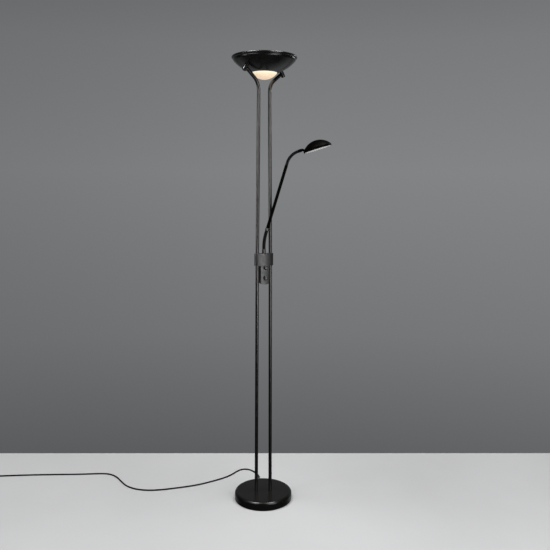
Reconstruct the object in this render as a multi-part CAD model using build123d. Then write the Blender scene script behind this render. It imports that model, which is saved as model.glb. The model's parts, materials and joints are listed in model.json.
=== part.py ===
from build123d import *
import math
import os

# Floor lamp with an uplighter dish, a dimmer housing on its two tubes and a bendable reading arm.
# Millimetres. The origin is on the floor under the middle of the base and +Z is up.
# At the housing X runs from tube to tube, and the knobs face -Y.

# Fits
touch_gap = 0.3
slide_fit = 0.1
turn_fit = 0.05
screw_fit = 0.1

# Upright tubes: half of their spacing at three heights, and how far the pair is turned at its two ends
lamp_height = 1800.0
tube_r = 7.0
tube_wall = 1.0
stem_half_base = 29.3
stem_half_collar = 29.0
stem_half_top = 30.5
base_turn = -18.0
dish_turn = 21.6
tube_bend_r = 58.0
tube_joint_gap = 12.0
coupler_length = 58.0
coupler_bore_r = 3.4
coupler_window_r = 2.8

# Base
base_r = 119.0
base_height = 34.0
base_wall = 1.5
base_edge_r = 10.0
skirt_lift = 1.0
pad_margin = 10.0
pad_thick = 2.0
plate_clearance = 4.5
plate_thick = 1.5
weight_clearance = 4.5
weight_thick = 18.0
nipple_bore_r = 4.2
nipple_grip = 22.0
stem_nut_width = 18.0
stem_nut_thick = 5.0
nut_pocket_depth = 12.0
nut_pocket_r = 14.0
spacer_r = 11.0
plate_screw_r = 2.0
plate_screw_length = 11.0
plate_screw_inset = 38.0
plate_screw_angles = (110, 200, 320)

# Cord gland and the wire channel behind it
gland_azimuth = 18.5
gland_z = 9.0
gland_reach = 26.0
gland_root_r = 5.5
gland_tip_r = 4.0
gland_flange_r = 6.8
gland_flange_thick = 2.6
wire_r = 1.7
wire_bend_r = 6.5
wire_root_z = 6.5
channel_width = 10.0
channel_depth = 10.5

# Mains cord, coil and plug
cord_r = 3.0
coil_start_r = 36.0
coil_pitch = 6.6
coil_turns_per_layer = 1.25
coil_climb_turns = 0.5
coil_lift = 1.1
tie_thick = 0.8
tie_width = 9.0
tail_straight = 15.0
tail_drop_length = 30.0
plug_thick = 13.7
plug_width = 34.0
plug_length = 34.0
plug_neck_width = 13.0
plug_relief_length = 22.0
pin_r = 2.0
pin_length = 19.0
pin_spacing = 18.6

# Dimmer housing
collar_top = 1037.0
collar_height = 49.0
collar_edge_r = 0.8
collar_r = 11.5
front_bulge = 4.0
box_width = 38.0
box_height = 75.5
box_corner_r = 12.0
housing_wall = 2.5
front_wall = 4.0
housing_top_wall = 4.0
cover_thick = 2.2
cover_boss_r = 3.2
cover_screw_r = 1.3
cover_screw_x = 11.0
cover_screw_low = 4.5
cover_screw_high = 9.0
grub_screw_height = 9.0
grub_screw_r = 2.0
knob_drop = 8.0
knob_pitch = 42.0
knob_r = 8.0
knob_length = 10.0
knob_edge_r = 3.5
knob_flutes = 20
dimmer_size = 16.0
dimmer_depth = 10.0
bushing_r = 4.5
bushing_reach = 4.0
panel_nut_width = 11.0
panel_nut_thick = 2.2
shaft_r = 3.0
shaft_reach = 9.0
board_width = 26.0
board_thick = 1.6

# Reading arm
arm_azimuth = 58.5
ferrule_r = 7.8
ferrule_height = 16.0
ferrule_spigot_r = 5.0
arm_nut_width = 14.0
arm_nut_thick = 4.0
lower_neck_r = 6.8
lower_neck_seat = 8.0
lower_neck_foot = 15.0
lower_neck_bend_r = 210.0
lower_neck_top = 13.0
arm_lean = 16.7
ring_r = 7.6
ring_seat = 4.0
ring_web = 1.2
arm_tube_r = 6.2
arm_tube_wall = 1.2
arm_tube_length = 262.3
upper_neck_r = 6.0
upper_neck_seat = 8.0
upper_neck_foot = 10.0
upper_neck_bend_r = 67.7
upper_neck_turn = 54.3
upper_neck_top = 10.0
rib_pitch = 4.0
rib_depth = 0.6
neck_bore_r = 2.9
lead_r = 2.2

# Head
fork_r = 6.2
fork_wall = 1.6
fork_sleeve = 14.5
knuckle_reach = 18.0
knuckle_r = 4.8
fork_slot = 4.2
fork_cheek = 2.2
knuckle_pin_r = 2.0
pin_head_r = 3.2
pin_head_thick = 1.0
head_r = 56.0
head_height = 36.5
head_lip = 7.5
head_wall = 1.2
head_raise = 17.2
knuckle_angle = 50.0
knuckle_clearance = 1.6
lug_thick = 4.0
diffuser_thick = 2.0
frame_height = 5.6
head_board_r = 42.0
head_led_ring_r = 28.0
head_led_count = 12

# Dish
dish_r = 127.0
dish_wall = 1.5
dish_bowl_r = 164.0
bead_r = 5.0
lip_r = 14.0
lip_end = 86.0
dish_hole_r = 50.0
post_r = 8.0
post_length = 29.0
post_angle = 35.0
post_nipple_r = 4.0
post_nipple_bore_r = 2.5
post_nipple_grip = 8.0
post_nut_width = 13.0
post_nut_thick = 4.0

# Glass bowl and the lamp above it
bowl_sag = 25.5
bowl_wall = 3.0
bowl_flange_r = 55.2
bowl_flange_thick = 2.6
carrier_thick = 2.0
boss_r = 3.0
boss_gap = 0.8
screw_head_gap = 1.0
carrier_screw_r = 1.4
led_board_gap = 1.2
led_size = 3.5
led_thick = 0.8
led_ring_radii = (14.0, 30.0, 46.0)
led_ring_counts = (6, 12, 18)
glow_led_ring_r = 24.0
glow_led_count = 6
diffuser_wall = 2.0
diffuser_step = 8.0
diffuser_rise = 9.0

# Heights and places that follow from the sizes above
tube_bore_r = tube_r - tube_wall
collar_bottom = collar_top - collar_height
box_bottom = collar_bottom - box_height
joint_z = (collar_top + collar_bottom) / 2
pad_r = base_r - pad_margin
plate_r = base_r - base_wall - plate_clearance
weight_r = base_r - base_wall - weight_clearance
plate_z = pad_thick
weight_z = plate_z + plate_thick
plate_screw_circle_r = plate_r - plate_screw_inset
weight_top = weight_z + weight_thick
shell_under = base_height - base_wall
nipple_r = tube_bore_r - 3 * slide_fit
nut_pocket_top = weight_z + nut_pocket_depth
housing_back = collar_r
housing_front = -collar_r - front_bulge
cavity_front = housing_front + front_wall
front_r = (stem_half_collar**2 + housing_front**2 - collar_r**2) / (2 * front_bulge)
cavity_top = collar_top - housing_top_wall
cavity_bottom = box_bottom + housing_wall
cavity_half = box_width / 2 - housing_wall
cover_inside = housing_back - cover_thick
upper_knob_z = collar_bottom - knob_drop
lower_knob_z = upper_knob_z - knob_pitch


def deg_sin(angle):
    return math.sin(math.radians(angle))


def deg_cos(angle):
    return math.cos(math.radians(angle))


def deg_tan(angle):
    return math.tan(math.radians(angle))


standing = (Align.CENTER, Align.CENTER, Align.MIN)


def rod(start, end, radius):
    """Round bar from one point to another."""
    start = Vector(start)
    along = Vector(end) - start
    return Plane(origin=start, z_dir=along) * Cylinder(radius, along.length, align=standing)


def disc(radius, low, high):
    """Flat round piece about the Z axis."""
    return Pos(0, 0, low) * Cylinder(radius, high - low, align=standing)


def block(low, high):
    """Box between two opposite corners."""
    size = [b - a for a, b in zip(low, high)]
    return Pos(*low) * Box(*size, align=(Align.MIN, Align.MIN, Align.MIN))


def hex_nut(width, thick, hole_r):
    """Six-sided nut standing on its own XY plane."""
    return extrude(RegularPolygon(width / math.sqrt(3), 6), thick) - disc(hole_r, -thick, 2 * thick)


def lathe(*edges):
    """Solid turned about Z from an outline drawn as radius and height."""
    return revolve(Plane.XZ * make_face(list(edges)), Axis.Z)


def swept(path, section_x, outer_r, inner_r=0.0):
    """Round tube or rod along a path."""
    section = Circle(outer_r)
    if inner_r:
        section = section - Circle(inner_r)
    return sweep(Plane(origin=path @ 0, x_dir=section_x, z_dir=path % 0) * section, path=path)


def solids_of(*shapes):
    """Several separate solids kept as one group."""
    return Compound([solid for shape in shapes for solid in shape.solids()])


def stem_point(z):
    """Middle of the right tube at a height between the base and the bend."""
    low, high = stem_foot, stem_joint
    if z > joint_z:
        low, high = stem_joint, stem_corner
    return low + (high - low) * ((z - low.Z) / (high.Z - low.Z))


def opposite(shape):
    """The same piece on the other tube, half a turn round the lamp's axis."""
    return Rot(0, 0, 180) * shape


# The dish wall is part of a sphere, and its rim is a small arc that ends in a rolled bead
bead_centre = Vector(dish_r - bead_r, lamp_height - bead_r)
lip_mid_end = bead_centre - Vector(deg_cos(lip_end), deg_sin(lip_end)) * bead_r
lip_centre = lip_mid_end - Vector(deg_sin(lip_end), -deg_cos(lip_end)) * (lip_r - dish_wall / 2)
lip_start = math.degrees(math.asin(lip_centre.X / (dish_bowl_r - lip_r)))
dish_centre_z = lip_centre.Y + (dish_bowl_r - lip_r) * deg_cos(lip_start)
dish_inner_r = dish_bowl_r - dish_wall
dish_x = Vector(deg_cos(dish_turn), deg_sin(dish_turn), 0)
dish_y = Vector(-deg_sin(dish_turn), deg_cos(dish_turn), 0)
dish_axis_point = Vector(0, 0, dish_centre_z)
post_axis = dish_x * deg_sin(post_angle) - Vector(0, 0, deg_cos(post_angle))
post_root = dish_axis_point + post_axis * dish_bowl_r
post_centre = post_root + post_axis * (post_length / 2)
tube_end_dir = dish_x * deg_cos(post_angle) + Vector(0, 0, deg_sin(post_angle))
stem_corner = post_centre - tube_end_dir * ((post_centre.dot(dish_x) - stem_half_top) / deg_cos(post_angle))
stem_joint = Vector(stem_half_collar, 0, joint_z)
stem_foot = Vector(stem_half_base * deg_cos(base_turn), stem_half_base * deg_sin(base_turn), base_height)
stem_root = Vector(stem_foot.X, stem_foot.Y, wire_root_z)


def dish_inside(radius):
    """Height of the dish's inner face at a radius."""
    return dish_centre_z - math.sqrt(dish_inner_r**2 - radius**2)


def base_parts():
    """Steel cover over a cast weight, closed by a plate and a felt pad, with the stem fixings."""
    outline = Polyline(
        (0, base_height), (base_r, base_height), (base_r, skirt_lift), (base_r - base_wall, skirt_lift),
        (base_r - base_wall, shell_under), (0, shell_under), close=True,
    )
    face = make_face(outline)
    outer_corner = face.vertices().group_by(Axis.Y)[-1].sort_by(Axis.X)[-1]
    inner_corner = face.vertices().group_by(Axis.Y)[-2].sort_by(Axis.X)[-1]
    face = fillet(outer_corner, base_edge_r)
    inner_corner = face.vertices().sort_by_distance(inner_corner.center())[0]
    face = fillet(inner_corner, base_edge_r - base_wall)
    shell = revolve(Plane.XZ * face, Axis.Z)

    weight = disc(weight_r, weight_z, weight_top)
    plate = disc(plate_r, plate_z, weight_z)
    nipple_low = nut_pocket_top - stem_nut_thick - touch_gap
    nipples, nuts, spacers = [], [], []
    for side in (-1, 1):
        at = Pos(side * stem_foot.X, side * stem_foot.Y, 0)
        hole = at * disc(nipple_r + slide_fit, 0, base_height + 1)
        shell -= hole
        weight -= hole
        weight -= at * disc(nut_pocket_r, weight_z - 1, nut_pocket_top)
        nipple = disc(nipple_r, nipple_low, base_height + nipple_grip) - disc(nipple_bore_r, 0, lamp_height)
        nipples.append(at * nipple)
        nut = Pos(0, 0, nut_pocket_top - stem_nut_thick) * hex_nut(stem_nut_width, stem_nut_thick, nipple_r)
        nuts.append(at * nut)
        spacers.append(at * disc(spacer_r, weight_top, shell_under) - hole)

    screws = []
    for angle in plate_screw_angles:
        at = Pos(plate_screw_circle_r * deg_cos(angle), plate_screw_circle_r * deg_sin(angle), 0)
        head = Pos(0, 0, plate_z + plate_thick / 2) * Cone(2 * plate_screw_r, plate_screw_r, plate_thick)
        shank = disc(plate_screw_r, weight_z, weight_z + plate_screw_length)
        screws.append(at * (head + shank))
        plate -= at * head
        weight -= at * disc(plate_screw_r + screw_fit, weight_z, weight_z + plate_screw_length + touch_gap)

    gland_hole = rod(gland_point(base_r / 2), gland_point(base_r + 1), gland_root_r + slide_fit)
    shell -= gland_hole
    weight -= wire_channel()
    return {
        "base_shell": shell,
        "base_weight": weight,
        "base_plate": plate,
        "base_pad": disc(pad_r, 0, pad_thick),
        "plate_screws": solids_of(*screws),
        "stem_nipples": solids_of(*nipples),
        "stem_nuts": solids_of(*nuts),
        "stem_spacers": solids_of(*spacers),
    }


def gland_point(radius):
    return Vector(radius * deg_sin(gland_azimuth), radius * deg_cos(gland_azimuth), gland_z)


def groove(start, end):
    """Round-ended groove in the underside of the weight."""
    run, middle = end - start, (start + end) / 2
    turn = math.degrees(math.atan2(run.Y, run.X))
    slot = extrude(SlotCenterToCenter(run.length, channel_width), channel_depth)
    return Pos(middle.X, middle.Y, weight_z) * Rot(0, 0, turn) * slot


def wire_channel():
    """Grooves under the weight from the gland to the right stem."""
    corner = gland_point(wire_corner_radius)
    return groove(corner, gland_point(base_r)) + groove(corner, stem_root)


gland_inner_radius = weight_r - 1.0
wire_corner_radius = gland_inner_radius - 9.0
gland_tip = gland_point(base_r + gland_reach)


def gland():
    """Tapered rubber strain relief, held in the shell by a flange on the inside."""
    inside = base_r - base_wall
    sleeve = Polyline(
        (0, gland_inner_radius), (gland_root_r - 1, gland_inner_radius),
        (gland_root_r - 1, inside - gland_flange_thick - touch_gap),
        (gland_flange_r, inside - gland_flange_thick - touch_gap), (gland_flange_r, inside - touch_gap),
        (gland_root_r, inside - touch_gap), (gland_root_r, base_r + touch_gap),
        (gland_tip_r, base_r + gland_reach), (0, base_r + gland_reach), close=True,
    )
    along = gland_point(1) - gland_point(0)
    return Plane(origin=gland_point(0), z_dir=along) * lathe(sleeve)


def supply_wire():
    """Wire from the gland through the base and up the right tube into the housing."""
    path = FilletPolyline(
        gland_point(gland_inner_radius), gland_point(wire_corner_radius),
        stem_root, stem_joint, Vector(cavity_half - 3, 0, joint_z),
        radius=[wire_bend_r, wire_bend_r, wire_bend_r],
    )
    return swept(path, (0, 0, 1), wire_r)


# Route of the cord on the floor, chosen along the line that it takes in the picture
cord_route = [
    gland_tip,
    gland_point(base_r + gland_reach + 21),
    (63, 179, 6.0),
    (68, 208, 3.6),
    (67, 239, 3.0),
    (54, 266, 3.0),
    (28, 280, 3.0),
    (-3, 275, 3.0),
    (-37, 257, 3.0),
    (-81, 240, 3.0),
    (-133, 232, 3.0),
    (-190, 225, 3.0),
    (-251, 227, 3.0),
    (-311, 237, 3.0),
    (-366, 246, 3.0),
    (-420, 264, 3.0),
    (-467, 298, 3.0),
    (-497, 345, 3.0),
    (-507, 399, 3.0),
    (-516, 450, 3.0),
    (-540, 489, 3.0),
    (-578, 513, 3.0),
    (-627, 530, 3.0),
    (-686, 554, 3.0),
    (-758, 586, 3.0),
    (-835, 619, 3.0),
    (-915, 654, 3.0),
    (-991, 689, 4.1),
    (-1031.8, 707.9, 4.1),
]
coil_heading = -65.2


def cord_radii(points):
    """Largest bend radius that the two runs at each corner allow."""
    radii = []
    for before, here, after in zip(points, points[1:], points[2:]):
        run_in, run_out = here - before, after - here
        turn = run_in.get_angle(run_out)
        radii.append(0.45 * min(run_in.length, run_out.length) / deg_tan(turn / 2))
    return radii


def free_cord():
    """Cord from the gland to the coil."""
    points = [Vector(p) for p in cord_route]
    radii = cord_radii(points)
    path = FilletPolyline(*points, radius=radii)
    cord = swept(path, (0, 0, 1), cord_r)
    print("cord radii", [round(r) for r in radii])
    expected = math.pi * cord_r**2 * path.length
    print("cord length", round(path.length, 1), "volume", round(cord.volume), "of", round(expected))
    return cord


coil_end = Vector(cord_route[-1])
coil_start_angle = -coil_heading
coil_centre = coil_end - Vector(deg_cos(coil_start_angle), deg_sin(coil_start_angle), 0) * coil_start_r
coil_out = Vector(deg_sin(coil_heading), deg_cos(coil_heading), 0)
coil_low = cord_r + coil_lift
coil_turns = 2 * coil_turns_per_layer + coil_climb_turns
coil_inner_r = coil_start_r - coil_pitch * coil_turns / 2


def coil_place(turn):
    """Point of the coil after a number of turns: in on the floor, up half a turn, and out on top."""
    radius = coil_inner_r + coil_pitch * abs(turn - coil_turns / 2)
    climb = min(max((turn - coil_turns_per_layer) / coil_climb_turns, 0), 1)
    height = coil_low + coil_pitch * climb**2 * (3 - 2 * climb)
    angle = coil_start_angle + 360 * turn
    return Vector(coil_centre.X + radius * deg_cos(angle), coil_centre.Y + radius * deg_sin(angle), height)


def coil_direction(turn):
    step = 0.001
    return (coil_place(min(turn + step, coil_turns)) - coil_place(max(turn - step, 0))).normalized()


def biarc(start, start_dir, end, end_dir):
    """Two arcs that join two points with given directions."""
    span = end - start
    both = start_dir + end_dir
    a = 2 * (1 - start_dir.dot(end_dir))
    b = 2 * span.dot(both)
    c = -span.dot(span)
    if a < 1e-9:
        reach = -c / b
    else:
        reach = (-b + math.sqrt(b * b - 4 * a * c)) / (2 * a)
    middle = (start + start_dir * reach + end - end_dir * reach) / 2
    first = TangentArc(start, middle, tangent=start_dir)
    return [first, TangentArc(middle, end, tangent=first % 1)]


plug_start = coil_place(coil_turns) + coil_out * (tail_straight + tail_drop_length + 2 * cord_r)
plug_start = Vector(plug_start.X, plug_start.Y, plug_thick / 2)


def cord_coil():
    """Put-away length of cord: one tube wound in two layers, with a straight tail to the plug."""
    quarters = round(coil_turns * 4)
    turns = [coil_turns * i / quarters for i in range(quarters + 1)]
    places = [coil_place(t) for t in turns]
    directions = [coil_direction(t) for t in turns]
    directions[0] = coil_out
    directions[-1] = coil_out
    edges = []
    for i in range(quarters):
        edges += biarc(places[i], directions[i], places[i + 1], directions[i + 1])
    tail = places[-1] + coil_out * tail_straight
    relief = plug_start - coil_out * 2 * cord_r
    edges.append(Line(places[-1], tail))
    edges += biarc(tail, coil_out, relief, coil_out)
    edges.append(Line(relief, plug_start))
    path = Wire(edges)
    samples = 900
    points = [path @ (i / samples) for i in range(samples + 1)]
    apart = int(4 * cord_r / path.length * samples) + 1
    least = min((p - q).length for i, p in enumerate(points) for q in points[i + apart:])
    print("coil length", round(path.length, 1), "least gap to itself", round(least - 2 * cord_r, 2))
    return swept(path, (0, 0, 1), cord_r)


def coil_tie():
    """Flat strap round the bundle, opposite the place where the cord comes in."""
    half_turn = 0.5
    middle_r = coil_start_r - coil_pitch * half_turn
    around = cord_r + touch_gap + tie_thick
    low_r = coil_inner_r - around - touch_gap
    high_r = middle_r + around
    low_z = coil_low - around
    high_z = coil_low + coil_pitch + around
    strap = block((low_r, -tie_width / 2, low_z), (high_r, tie_width / 2, high_z))
    inside_low = (low_r + tie_thick, -tie_width, low_z + tie_thick)
    strap -= block(inside_low, (high_r - tie_thick, tie_width, high_z - tie_thick))
    return Pos(coil_centre.X, coil_centre.Y, 0) * Rot(0, 0, coil_start_angle + 180) * strap


plug_plane = Plane(origin=plug_start, x_dir=(0, 0, 1), z_dir=coil_out)


def plug():
    """Flat two-pin plug with a tapered relief, lying beyond the coil."""
    relief = Cone(cord_r + 0.8, plug_neck_width / 2 - 1, plug_relief_length, align=standing)
    neck_z = plug_relief_length - 1
    shoulder_z = plug_relief_length + 0.62 * plug_length
    face_z = plug_relief_length + plug_length
    half_neck, half = plug_neck_width / 2, plug_width / 2
    outline = Polyline(
        (-half_neck, neck_z), (half_neck, neck_z), (half, shoulder_z), (half, face_z),
        (-half, face_z), (-half, shoulder_z), close=True,
    )
    face = make_face(outline)
    face = fillet(face.vertices().sort_by(Axis.Y)[2:4], 9)
    body = extrude(Plane.YZ * face, plug_thick / 2, both=True)
    body = fillet(body.edges().filter_by(GeomType.LINE).filter_by(Axis.X, reverse=True), 1.2)
    pins = []
    for side in (-1, 1):
        y = side * pin_spacing / 2
        pin = rod((0, y, face_z), (0, y, face_z + pin_length), pin_r)
        pins.append(fillet(pin.edges().sort_by(Axis.Z)[-1], pin_r / 2))
    return plug_plane * (relief + body), solids_of(*[plug_plane * p for p in pins])


def cord_parts():
    plug_body, plug_pins = plug()
    return {
        "cord_gland": gland(),
        "supply_wire": supply_wire(),
        "mains_cord": free_cord(),
        "cord_coil": cord_coil(),
        "coil_tie": coil_tie(),
        "plug_body": plug_body,
        "plug_pins": plug_pins,
    }


def slanted_tube(low, high, outer_r, inner_r=0.0):
    """Upright tube between two heights that leans with the stem and has level ends."""
    start, end = stem_point(low), stem_point(high)
    section = Circle(outer_r)
    if inner_r:
        section = section - Circle(inner_r)
    run = end - start
    return extrude(Pos(*start) * section, run.length, dir=run)


def stem_parts():
    """Two tubes, each of a lower and an upper length joined by a hollow coupler in the collar."""
    low_top = joint_z - tube_joint_gap / 2
    high_start = joint_z + tube_joint_gap / 2
    right_lower = slanted_tube(base_height, low_top, tube_r, tube_bore_r)
    path = FilletPolyline(stem_point(high_start), stem_corner, post_centre, radius=tube_bend_r)
    right_upper = swept(path, (0, 1, 0), tube_r, tube_bore_r)
    right_upper -= rod(post_root, post_root + post_axis * post_length, post_r)

    coupler_r = tube_bore_r - 6 * slide_fit
    middle = Pos(*stem_joint)
    coupler = middle * (Cylinder(coupler_r, coupler_length) - Cylinder(coupler_bore_r, 2 * coupler_length))
    shoulder = Cylinder(tube_r, tube_joint_gap - 2 * touch_gap) - Cylinder(coupler_bore_r, coupler_length)
    window = rod((0, 0, joint_z), stem_joint, coupler_window_r)
    coupler = coupler + middle * shoulder - window
    return {
        "right_lower_tube": right_lower,
        "left_lower_tube": opposite(right_lower),
        "right_upper_tube": right_upper,
        "left_upper_tube": opposite(right_upper),
        "stem_couplers": solids_of(coupler, opposite(coupler)),
    }


def box_outline(half_width, low, high, corner_r):
    """Front outline of the dimmer box, round at its lower corners, drawn as X and Z."""
    face = Pos(0, (low + high) / 2) * Rectangle(2 * half_width, high - low)
    return fillet(face.vertices().group_by(Axis.Y)[0], corner_r)


def collar_outline():
    """Plan of the collar: round ends about the tubes, a straight back and a front that bulges a little."""
    front_centre = Pos(0, housing_front + front_r)
    half = stem_half_collar * (1 + collar_r / (front_r - collar_r))
    middle = Pos(0, housing_front / 2) * Rectangle(2 * half, -housing_front)
    return SlotCenterToCenter(2 * stem_half_collar, 2 * collar_r) + (front_centre * Circle(front_r) & middle)


def upright_slab(outline, front, back):
    """Solid between two Y planes with an outline drawn as X and Z."""
    return Pos(0, back, 0) * extrude(Plane.XZ * outline, back - front)


def housing_parts():
    """Collar and dimmer box in one moulding, closed by a back cover."""
    collar = extrude(collar_outline(), collar_height)
    collar = Pos(0, 0, collar_bottom) * fillet(collar.edges().group_by(Axis.Z)[-1], collar_edge_r)
    front_outline = box_outline(box_width / 2, box_bottom, collar_bottom + 1, box_corner_r)
    box = upright_slab(front_outline, housing_front - 1, housing_back)
    body = collar + (box & Pos(0, 0, box_bottom) * extrude(collar_outline(), box_height + 1))
    inner_corner_r = box_corner_r - housing_wall
    cavity_outline = box_outline(cavity_half, cavity_bottom, cavity_top, inner_corner_r)
    body -= upright_slab(cavity_outline, cavity_front, housing_back + 1)
    cover_outline = box_outline(
        cavity_half - slide_fit, cavity_bottom + slide_fit, cavity_top - slide_fit, inner_corner_r
    )
    cover = upright_slab(cover_outline, cover_inside, housing_back)

    screws, bosses = [], []
    for x in (-cover_screw_x, cover_screw_x):
        for z in (cavity_bottom + cover_screw_low, cavity_top - cover_screw_high):
            bosses.append(rod((x, cavity_front, z), (x, cover_inside, z), cover_boss_r))
            shank = rod((x, 0, z), (x, housing_back, z), cover_screw_r)
            head_plane = Plane(origin=(x, housing_back - cover_thick / 2, z), z_dir=(0, 1, 0))
            head = head_plane * Cone(cover_screw_r, 2 * cover_screw_r, cover_thick)
            screws.append(shank + head)
    for boss in bosses:
        body += boss
    for screw in screws:
        body -= screw
        cover -= screw

    bore_r = tube_r + slide_fit
    for low, high in ((collar_bottom - 1, joint_z), (joint_z, collar_top + 1)):
        bore = slanted_tube(low, high, bore_r)
        body = body - bore - opposite(bore)
    body -= rod((-stem_half_collar, 0, joint_z), (stem_half_collar, 0, joint_z), coupler_window_r)

    grubs = []
    grub_z = collar_bottom + grub_screw_height
    for side in (-1, 1):
        x = side * stem_point(grub_z).X
        grub = rod((x, tube_r + touch_gap, grub_z), (x, housing_back - touch_gap, grub_z), grub_screw_r)
        grubs.append(grub)
        body -= rod((x, tube_r, grub_z), (x, housing_back + 1, grub_z), grub_screw_r)

    body -= disc(ferrule_spigot_r + turn_fit, cavity_top - 1, collar_top + 1)
    nodes = {"cover_screws": solids_of(*screws), "housing_cover": cover, "collar_screws": solids_of(*grubs)}
    nuts = []
    for name, z in (("upper", upper_knob_z), ("lower", lower_knob_z)):
        dimmer, nut, shaft, knob = dimmer_set(z)
        body -= rod((0, cavity_front + 1, z), (0, housing_front - 1, z), bushing_r + slide_fit)
        nuts.append(nut)
        nodes[name + "_dimmer"] = dimmer
        nodes[name + "_dimmer_shaft"] = shaft
        nodes[name + "_knob"] = knob
    nodes["housing_body"] = body
    nodes["dimmer_nuts"] = solids_of(*nuts)
    nodes["control_board"] = control_board()
    return nodes


def dimmer_set(z):
    """Rotary dimmer behind the front wall, its panel nut, and the shaft and knob that turn together."""
    back = cavity_front + dimmer_depth
    half = dimmer_size / 2
    bushing_end = housing_front - bushing_reach
    shaft_end = bushing_end - shaft_reach + bushing_reach
    dimmer = block((-half, cavity_front, z - half), (half, back, z + half))
    dimmer += rod((0, cavity_front, z), (0, bushing_end, z), bushing_r)
    dimmer -= rod((0, back - 4, z), (0, bushing_end - 1, z), shaft_r + turn_fit)
    nut_plane = Plane(origin=(0, housing_front, z), x_dir=(1, 0, 0), z_dir=(0, -1, 0))
    nut = nut_plane * hex_nut(panel_nut_width, panel_nut_thick, bushing_r)
    shaft = rod((0, back - 4 - touch_gap, z), (0, shaft_end, z), shaft_r)

    knob = nut_plane * disc(knob_r, touch_gap, touch_gap + knob_length)
    knob = fillet(knob.edges().sort_by(Axis.Y)[0], knob_edge_r)
    recess = bushing_reach + 2 * touch_gap
    knob -= nut_plane * disc(panel_nut_width / math.sqrt(3) + touch_gap, 0, recess)
    knob -= rod((0, housing_front, z), (0, shaft_end - slide_fit, z), shaft_r)
    knob_front = housing_front - touch_gap - knob_length
    for i in range(knob_flutes):
        angle = 360 * i / knob_flutes
        x, dz = (knob_r + 0.25) * deg_cos(angle), (knob_r + 0.25) * deg_sin(angle)
        knob -= rod((x, housing_front - 3, z + dz), (x, knob_front - 1, z + dz), 0.7)
    knob -= block((-0.5, knob_front - 1, z + 1), (0.5, knob_front + 0.6, z + knob_r - knob_edge_r))
    return dimmer, nut, shaft, knob


def control_board():
    """Driver board soldered to the backs of the two dimmers, with its larger components."""
    front = cavity_front + dimmer_depth
    back = front + board_thick
    low, high = lower_knob_z - dimmer_size / 2 - 3, upper_knob_z + dimmer_size + 8
    board = block((-board_width / 2, front, low), (board_width / 2, back, high))
    room = cover_inside - back - 2 * touch_gap
    middle = (upper_knob_z + lower_knob_z) / 2
    board += block((-9, back, middle - 8), (5, back + room, middle + 6))
    board += block((-10, back, upper_knob_z + 2), (8, back + 0.8 * room, upper_knob_z + 14))
    board += rod((6, back, lower_knob_z), (6, back + room, lower_knob_z), 4)
    return board


# The reading arm lies in one upright plane through the lamp's axis
arm_out = Vector(deg_sin(arm_azimuth), -deg_cos(arm_azimuth), 0)
arm_side = Vector(deg_cos(arm_azimuth), deg_sin(arm_azimuth), 0)


def arm_point(reach, height):
    return arm_out * reach + Vector(0, 0, height)


def arm_direction(lean):
    """Direction in the arm's plane, leaning outwards from upright by an angle."""
    return arm_point(deg_sin(lean), deg_cos(lean))


class Neck:
    """Centre line of a flexible neck: straight, one arc, straight."""

    def __init__(self, start, lean, foot, bend_r, turn, top):
        self.start, self.lean, self.foot = start, lean, foot
        self.bend_r, self.turn, self.top = bend_r, turn, top
        self.arc = bend_r * math.radians(turn)
        self.length = foot + self.arc + top
        self.bend_start = start + arm_direction(lean) * foot
        self.centre = self.bend_start + arm_direction(lean + 90) * bend_r
        self.corner = self.bend_start + arm_direction(lean) * bend_r * deg_tan(turn / 2)
        self.end_lean = lean + turn
        self.bend_end = self.centre - arm_direction(self.end_lean + 90) * bend_r
        self.end = self.bend_end + arm_direction(self.end_lean) * top

    def section(self, along, radius):
        """Round section across the neck at a length along it."""
        if along <= self.foot:
            place, lean = self.start + arm_direction(self.lean) * along, self.lean
        elif along >= self.foot + self.arc:
            place = self.bend_end + arm_direction(self.end_lean) * (along - self.foot - self.arc)
            lean = self.end_lean
        else:
            lean = self.lean + math.degrees((along - self.foot) / self.bend_r)
            place = self.centre - arm_direction(lean + 90) * self.bend_r
        return Plane(origin=place, x_dir=arm_side, z_dir=arm_direction(lean)) * Circle(radius)

    def path(self):
        return FilletPolyline(self.start, self.corner, self.end, radius=self.bend_r)

    def ribbed(self, radius, plain_start, plain_end, plain_start_r, plain_end_r):
        """Ribbed hose with a bore, plain where its two ends are seated."""
        groove_r = radius - rib_depth
        ribs = round((self.length - plain_start - plain_end) / rib_pitch)
        pitch = (self.length - plain_start - plain_end) / ribs
        sections = [self.section(0, plain_start_r), self.section(plain_start, plain_start_r)]
        for i in range(ribs):
            low = plain_start + pitch * i
            for share, r in ((0.12, groove_r), (0.3, radius), (0.7, radius), (0.88, groove_r)):
                sections.append(self.section(low + pitch * share, r))
        sections += [self.section(self.length - back, plain_end_r) for back in (plain_end, 0)]
        return loft(sections, ruled=True) - swept(self.path(), arm_side, neck_bore_r)


ferrule_low = collar_top + slide_fit
lower_neck_start = arm_point(0, ferrule_low + ferrule_height - lower_neck_seat)
lower_neck = Neck(lower_neck_start, 0, lower_neck_foot, lower_neck_bend_r, arm_lean, lower_neck_top)
arm_tube_start = lower_neck.end + arm_direction(arm_lean) * ring_web
arm_tube_end = arm_tube_start + arm_direction(arm_lean) * arm_tube_length
upper_neck = Neck(
    arm_tube_end - arm_direction(arm_lean) * upper_neck_seat, arm_lean, upper_neck_seat + upper_neck_foot,
    upper_neck_bend_r, upper_neck_turn, upper_neck_top,
)
head_crown = head_height - head_lip
dome_r = (head_r**2 + head_crown**2) / (2 * head_crown)
dome_z = head_height - dome_r
pivot_reach = dome_r + knuckle_r + knuckle_clearance
head_back = pivot_reach * deg_sin(knuckle_angle)
head_drop = dome_z + pivot_reach * deg_cos(knuckle_angle)
fork_dir = arm_direction(upper_neck.end_lean)
knuckle = upper_neck.bend_end + fork_dir * knuckle_reach
head_x = arm_direction(90 - head_raise)
head_up = arm_direction(-head_raise)
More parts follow.
